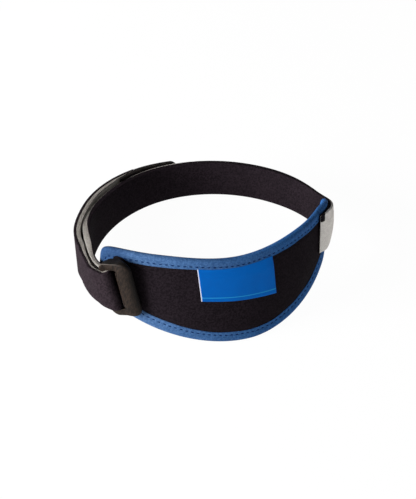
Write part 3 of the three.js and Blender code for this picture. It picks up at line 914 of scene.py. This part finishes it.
def make_strap_tack():
    """A bar tack over the top corner of the strap's sewn end: close threads one above the other."""
    dashes = []
    line, layers = strap_line()
    length = line_length(line)
    for across in np.arange(*TACK_ACROSS, TACK_PITCH):

        def place(s, out, across=across):
            at = TACK_DISTANCE + s
            rows = sampled(at, length, line.T).T
            deep = np.interp(at, length, layers["half"]) + TACK_LIFT + out
            return band_points(rows, deep[:, None], np.full((len(s), 1), across))[:, 0]

        dashes.append(dash_path(place, TACK_LENGTH, TACK_SINK))
    return stitch_mesh("strap_tack", dashes, TACK_RADIUS)


# Materials


class Shader:
    """Short calls for the nodes of a material or a world, with its main node by name."""

    def __init__(self, owner, main):
        owner.use_nodes = True
        self.owner = owner
        self.tree = owner.node_tree
        self.main = self.tree.nodes[main]

    def join(self, value, target):
        """Links a socket to an input, or sets a constant on it."""
        if isinstance(value, bpy.types.NodeSocket):
            self.tree.links.new(value, target)
        else:
            target.default_value = value

    def give(self, name, value):
        """Links or sets an input of the main node."""
        self.join(value, self.main.inputs[name])

    def node(self, kind, inputs=None, **settings):
        """A new node, with a socket or a constant for each of its inputs by name or number."""
        made = self.tree.nodes.new(kind)
        for key, value in settings.items():
            setattr(made, key, value)
        for key, value in (inputs or {}).items():
            self.join(value, made.inputs[key])
        return made

    def cloth_map(self):
        return self.node("ShaderNodeUVMap", uv_map="Cloth").outputs["UV"]

    def place(self):
        return self.node("ShaderNodeTexCoord").outputs["Object"]

    def split(self, vector):
        """The three parts of a vector."""
        return self.node("ShaderNodeSeparateXYZ", {0: vector}).outputs

    def upward(self):
        """How far the surface faces up, from -1 to 1."""
        return self.split(self.node("ShaderNodeTexCoord").outputs["Normal"])[2]

    def stretched(self, vector, scale):
        return self.node("ShaderNodeMapping", {"Vector": vector, "Scale": scale}).outputs["Vector"]

    def math(self, operation, *values):
        return self.node("ShaderNodeMath", dict(enumerate(values)), operation=operation).outputs[0]

    def product(self, a, b):
        return self.math("MULTIPLY", a, b)

    def total(self, *terms):
        """The sum of sockets, each with its weight."""
        added = 0.0
        for socket, weight in terms:
            added = self.math("MULTIPLY_ADD", socket, weight, added)
        return added

    def apart(self, value, middle):
        """How far a value is from a middle one."""
        return self.math("ABSOLUTE", self.math("SUBTRACT", value, middle))

    def noise(self, vector, scale, detail=3.0, roughness=0.55):
        inputs = {"Vector": vector, "Scale": scale, "Detail": detail, "Roughness": roughness}
        return self.node("ShaderNodeTexNoise", inputs).outputs["Fac"]

    def ramp(self, value, low, high, start=0.0, end=1.0):
        inputs = {"Value": value, "From Min": low, "From Max": high, "To Min": start, "To Max": end}
        return self.node("ShaderNodeMapRange", inputs).outputs["Result"]

    def mix(self, share, a, b):
        return self.node("ShaderNodeMix", {0: share, 6: a, 7: b}, data_type="RGBA").outputs[2]

    def wave(self, value, pitch):
        return self.math("SINE", self.product(value, 2 * math.pi / pitch))

    def weave(self, across, along):
        """Threads that pass over and under, from 0 to 1, with their pitches on the cloth map, and the parts
        of that map."""
        parts = self.split(self.cloth_map())
        threads = self.product(self.wave(parts[0], along), self.wave(parts[1], across))
        return self.math("MULTIPLY_ADD", threads, 0.5, 0.5), parts

    def bump(self, height, distance):
        inputs = {"Height": height, "Distance": distance, "Strength": 1.0}
        self.give("Normal", self.node("ShaderNodeBump", inputs).outputs["Normal"])


def principled(name, roughness, specular):
    """A new material with a Principled shader."""
    s = Shader(bpy.data.materials.new(name), "Principled BSDF")
    s.give("Roughness", roughness)
    s.give("Specular IOR Level", specular)
    return s


def linear(red, green, blue):
    """A colour given as it shows on a screen, from 0 to 255, as the light that a shader takes."""
    shares = [v / 255 for v in (red, green, blue)]
    light = [v / 12.92 if v <= 0.04045 else ((v + 0.055) / 1.055) ** 2.4 for v in shares]
    return (*light, 1.0)


def woven_cloth(name, dark, light, pitch, bump, fleck, gloss, painted_light_along=None, painted_highlight_across=None):
    """Woven or knitted cloth: threads, slow patches and fine flecks. Painted light and shade can change it to
    two other tones between two places along it, in centimetres, and a painted highlight to two more between
    two places across the object, in metres."""
    s = principled(name, 0.9, gloss)
    threads, parts = s.weave(*pitch)
    place = s.place()
    patches = s.noise(place, 60)
    flecks = s.noise(place, 850, roughness=0.8)
    slow = s.math("MULTIPLY_ADD", s.ramp(patches, *NOISE_RANGE), 0.35, 0.5)
    uneven = s.total((s.ramp(flecks, 0.42, 0.58), fleck), (slow, 0.5))
    tone = s.total((threads, 0.25), (uneven, 0.75))
    colour = s.mix(tone, dark, light)
    for change, position in ((painted_highlight_across, s.split(place)[0]), (painted_light_along, parts[0])):
        if change:
            start, end, other_dark, other_light = change
            colour = s.mix(s.ramp(position, start, end), colour, s.mix(tone, other_dark, other_light))
    s.give("Base Color", colour)
    s.give("Roughness", s.ramp(patches, *NOISE_RANGE, 0.7, 0.9))
    s.bump(s.total((threads, 1.0), (flecks, 0.7)), bump)
    return s.owner


def pile_cloth():
    """Looped grey pile: tufts, hollows between them and slightly soiled patches. It is dimmer in the strip
    beside its edge, with painted shade on its upward-facing upper edge and, past the fold, on the outer run's
    pile, which faces the inner run."""
    s = principled("grey_pile", 0.95, 0.03)
    place = s.place()
    along, around, _ = s.split(s.cloth_map())
    inputs = {"Vector": place, "Scale": 1500, "Smoothness": 0.6}
    tufts = s.node("ShaderNodeTexVoronoi", inputs, feature="SMOOTH_F1").outputs["Distance"]
    patches = s.noise(place, 210, 4)
    fibres = s.noise(s.stretched(place, (1.0, 1.0, 2.5)), 900, 3, 0.7)
    hollows = s.ramp(tufts, 0.0, 0.8, 1.0, 0.55)
    tone = s.product(hollows, s.ramp(patches, *NOISE_RANGE, 0.7, 1.05))
    tone = s.product(tone, s.ramp(fibres, *NOISE_RANGE, 0.6, 1.15))
    past_back = s.ramp(along, 12.0, 16.0)
    strip = s.product(s.ramp(around, 0.03, 0.1, 1.0, 0.0), past_back)
    # Painted shade on the pile's upward-facing upper edge.
    edge = s.product(s.ramp(s.upward(), 0.4, 0.7), past_back)
    # Painted shade past the fold, on the outer run's pile, which faces the inner run.
    past_fold = s.ramp(along, 25.0, 27.0, 0.0, 0.45)
    colour = s.mix(tone, linear(186, 180, 174), linear(255, 251, 245))
    changes = [
        # share of the change, and its dark and light tones
        (strip, (88, 83, 79), (166, 160, 153)),
        # painted shade on the upward-facing edge
        (edge, (104, 98, 93), (192, 186, 179)),
        # painted shade on the outer run's pile
        (past_fold, (60, 56, 53), (118, 112, 106)),
    ]
    for share, dark, light in changes:
        colour = s.mix(share, colour, s.mix(tone, linear(*dark), linear(*light)))
    s.give("Base Color", colour)
    s.give("Roughness", s.ramp(patches, *NOISE_RANGE, 0.88, 1.0))
    s.bump(s.total((fibres, 0.8), (tufts, -1.0)), 0.0003)
    return s.owner


def moulded_plastic():
    """Satin plastic: fine grain along it and faint flow patches, a painted highlight along the top arm's
    front edge, painted shade on that arm's upper face and painted shade on the wide bar's right side."""
    s = principled("satin_plastic", 0.4, 0.12)
    along, around, _ = s.split(s.cloth_map())
    place = s.place()
    grain = s.noise(place, 2600, 2, 0.6)
    patches = s.noise(place, 110, 4)
    rubs = s.noise(s.stretched(place, (1.0, 1.0, 0.2)), 1300, 3, 0.75)
    tone = s.total((patches, 0.4), (s.ramp(rubs, 0.44, 0.57), 0.6))
    past_end = s.ramp(along, 0.1, 0.25)
    on_arm = s.product(past_end, s.ramp(along, 0.95, 1.15, 1.0, 0.0))
    on_top = s.product(past_end, s.ramp(along, 1.4, 1.9, 1.0, 0.0))
    on_bar = s.product(s.ramp(along, 1.4, 1.9), s.ramp(along, 3.6, 4.2, 1.0, 0.2))
    # Painted shade on the wide bar's right side, which turns away from the light.
    turned = s.product(s.ramp(around, 0.27, 0.4, 0.0, 0.75), on_bar)
    # Painted shade on the top arm's upper face.
    top = s.product(s.ramp(s.apart(around, 0.52), 0.1, 0.16, 0.85, 0.0), on_top)
    # Painted highlight along the top arm's front edge.
    edge = s.product(s.ramp(s.apart(around, 0.375), 0.012, 0.035, 0.8, 0.0), on_arm)
    colour = s.mix(tone, linear(7, 5, 4), linear(46, 36, 30))
    # Tints: painted shade on the bar's side and the arm's top, painted highlight on the arm's edge.
    for share, tint in ((turned, (6, 5, 4)), (top, (12, 9, 7)), (edge, (120, 112, 106))):
        colour = s.mix(share, colour, linear(*tint))
    s.give("Base Color", colour)
    s.give("Roughness", s.total((s.ramp(patches, *NOISE_RANGE, 0.38, 0.52), 1.0), (grain, 0.1)))
    s.bump(s.total((grain, 1.0), (rubs, 1.5)), 0.00014)
    return s.owner


def label_weave():
    """Satin-woven label: fine threads across it, a pale selvage and painted shade at its left end, and one
    plain stripe.
    """
    s = principled("label_satin", 0.6, 0.03)
    cloth, (along, down, _) = s.weave(1 / 70, 1 / 110)
    patches = s.noise(s.place(), 150)
    tone = s.total((cloth, 0.3), (patches, 0.7))
    # Painted shade, darkest at the label's left end.
    painted_left_shade = s.ramp(along, 0.0, 0.8, 0.45, 0.0)
    stripe = s.product(s.math("LESS_THAN", s.apart(down, 0.13), 0.014), 0.8)
    selvage = s.math("LESS_THAN", along, 0.011)
    colour = s.mix(tone, linear(1, 90, 177), linear(6, 108, 203))
    for share, tint in ((painted_left_shade, (2, 70, 140)), (stripe, (40, 150, 205)), (selvage, (178, 182, 196))):
        colour = s.mix(share, colour, linear(*tint))
    s.give("Base Color", colour)
    s.give("Roughness", s.ramp(patches, *NOISE_RANGE, 0.5, 0.68))
    s.bump(s.total((cloth, 1.0), (stripe, 0.8)), 0.00008)
    return s.owner


def hook_material():
    """Hook tape: rows of fine stiff hooks on a black ground."""
    s = principled("hook_tape_black", 0.65, 0.06)
    hooks, _ = s.weave(0.11, 0.14)
    patches = s.noise(s.place(), 300)
    tone = s.product(s.ramp(hooks, 0.4, 0.9), s.ramp(patches, 0.35, 0.7))
    s.give("Base Color", s.mix(tone, linear(16, 14, 15), linear(74, 66, 60)))
    s.give("Roughness", s.ramp(patches, *NOISE_RANGE, 0.55, 0.8))
    s.bump(hooks, 0.0003)
    return s.owner


def thread_material(name, dark, light):
    """Sewing thread: a twist along it and slightly uneven dye."""
    s = principled(name, 0.75, 0.03)
    twist = s.noise(s.place(), 4000, 2)
    s.give("Base Color", s.mix(s.ramp(twist, *NOISE_RANGE), dark, light))
    s.give("Roughness", s.ramp(twist, *NOISE_RANGE, 0.65, 0.85))
    s.bump(twist, 0.00005)
    return s.owner


# Camera and studio


def place_object(name, data, axes, place):
    """Adds a camera or a light whose axes are the columns given, at a place in metres."""
    placed = np.eye(4)
    placed[:3, :3] = axes
    placed[:3, 3] = place
    obj = bpy.data.objects.new(name, data)
    obj.matrix_world = Matrix(placed.tolist())
    bpy.context.scene.collection.objects.link(obj)
    return obj


def make_camera():
    """The camera looks as the photograph does, with the same picture frame."""
    e, a, r = CAMERA_ELEVATION, CAMERA_AZIMUTH, CAMERA_ROLL
    back = np.array([math.sin(a) * math.cos(e), -math.cos(a) * math.cos(e), math.sin(e)])
    level = np.array([math.cos(a), math.sin(a), 0.0])
    upright = np.cross(back, level)
    right = level * math.cos(r) - upright * math.sin(r)
    up = level * math.sin(r) + upright * math.cos(r)
    data = bpy.data.cameras.new("camera")
    data.sensor_width = SENSOR_WIDTH
    data.lens = PIXELS_IN_A_MILLIMETRE * CAMERA_DISTANCE / IMAGE_LONG_SIDE * SENSOR_WIDTH
    cx, cy = CAMERA_CENTRE
    data.shift_x = -(cx * math.cos(r) - cy * math.sin(r)) / IMAGE_LONG_SIDE
    data.shift_y = -(cx * math.sin(r) + cy * math.cos(r)) / IMAGE_LONG_SIDE
    data.clip_start = 0.01
    axes = STANDING @ np.column_stack([right, up, back])
    eye = (STANDING @ (back * CAMERA_DISTANCE) + MOVE) / 1000
    bpy.context.scene.camera = place_object("camera", data, axes, eye)


def make_floor():
    """A pale floor just under the object."""
    mesh = bpy.data.meshes.new("floor")
    reach = FLOOR_REACH
    corners = [(-reach, -reach, 0), (reach, -reach, 0), (reach, reach, 0), (-reach, reach, 0)]
    mesh.from_pydata(corners, [], [(0, 1, 2, 3)])
    floor = bpy.data.objects.new("floor", mesh)
    floor.location.z = -FLOOR_DROP
    bpy.context.scene.collection.objects.link(floor)
    s = principled("pale_floor", 0.9, 0.1)
    s.give("Base Color", (FLOOR_GREY, FLOOR_GREY, FLOOR_GREY, 1))
    s.give("Emission Color", (1, 1, 1, 1))
    s.give("Emission Strength", FLOOR_GLOW)
    mesh.materials.append(s.owner)


def make_light(name, place, size, energy):
    """A soft square light that faces the object."""
    data = bpy.data.lights.new(name, "AREA")
    data.size = size
    data.energy = energy
    back = np.array(place) / np.linalg.norm(place)
    right = np.cross([0, 0, 1], back)
    right /= np.linalg.norm(right)
    place_object(name, data, np.column_stack([right, np.cross(back, right), back]), place)


def make_world():
    """A studio that is pale round the horizon and dim overhead."""
    world = bpy.data.worlds.new("studio")
    s = Shader(world, "Background")
    rise = s.split(s.node("ShaderNodeTexCoord").outputs["Generated"])[2]
    s.give("Color", (1, 1, 1, 1))
    s.give("Strength", s.ramp(rise, 0.0, OVERHEAD_FROM, HORIZON_LIGHT, OVERHEAD_LIGHT))
    bpy.context.scene.world = world


make_camera()
make_world()
make_floor()
for light in LIGHTS:
    make_light(*light)
bpy.context.scene.view_settings.view_transform = "Standard"

pad_cloth = woven_cloth("pad_knit", linear(3, 2, 3), linear(35, 29, 34), **KNIT)
strap_cloth = woven_cloth(
    "strap_knit",
    linear(3, 2, 3),
    linear(38, 31, 36),
    **KNIT,
    # Painted sheen: past the fold the outer run is lighter.
    painted_light_along=(26.5, 27.5, linear(7, 5, 7), linear(47, 39, 44)),
)
tape_cloth = woven_cloth(
    "tape_blue",
    linear(9, 52, 106),
    linear(52, 105, 166),
    **TAPE_WEAVE,
    # Painted shadow of the ring on the tape's upper left end.
    painted_light_along=(3.0, 2.0, linear(14, 40, 76), linear(49, 78, 117)),
    # Painted highlight: the tape is lighter and paler towards its left side.
    painted_highlight_across=(0.03, -0.05, linear(19, 54, 95), linear(79, 110, 151)),
)
webbing = woven_cloth("webbing_black", linear(12, 10, 12), linear(26, 22, 25), **WEBBING)
blue_thread = thread_material("blue_thread", linear(8, 24, 58), linear(22, 48, 92))
black_thread = thread_material("black_thread", linear(14, 12, 14), linear(34, 30, 33))

pad = dress(make_pad(), pad_cloth, "pad_cloth", "pad")
binding = dress(make_binding(), tape_cloth, "binding_tape", "binding")
binding_stitches = dress(make_binding_stitches(), blue_thread, "binding_tape")
label = dress(make_label(), label_weave(), "label_weave", "label")
ring = dress(make_ring(), moulded_plastic(), "ring_plastic", "ring")
tab = dress(make_tab(), webbing, "tab_webbing", "tab")
tab_stitches = dress(make_tab_stitches(), black_thread, "tab_webbing")
strap = dress(make_strap_cloth(), strap_cloth, "strap_cloth", "strap")
strap_pile = dress(make_strap_pile(), pile_cloth(), "strap_cloth")
strap_tack = dress(make_strap_tack(), black_thread, "strap_cloth")
hook_tab = dress(make_hook_tab(), hook_material(), "hook_tape", "hook_tab")
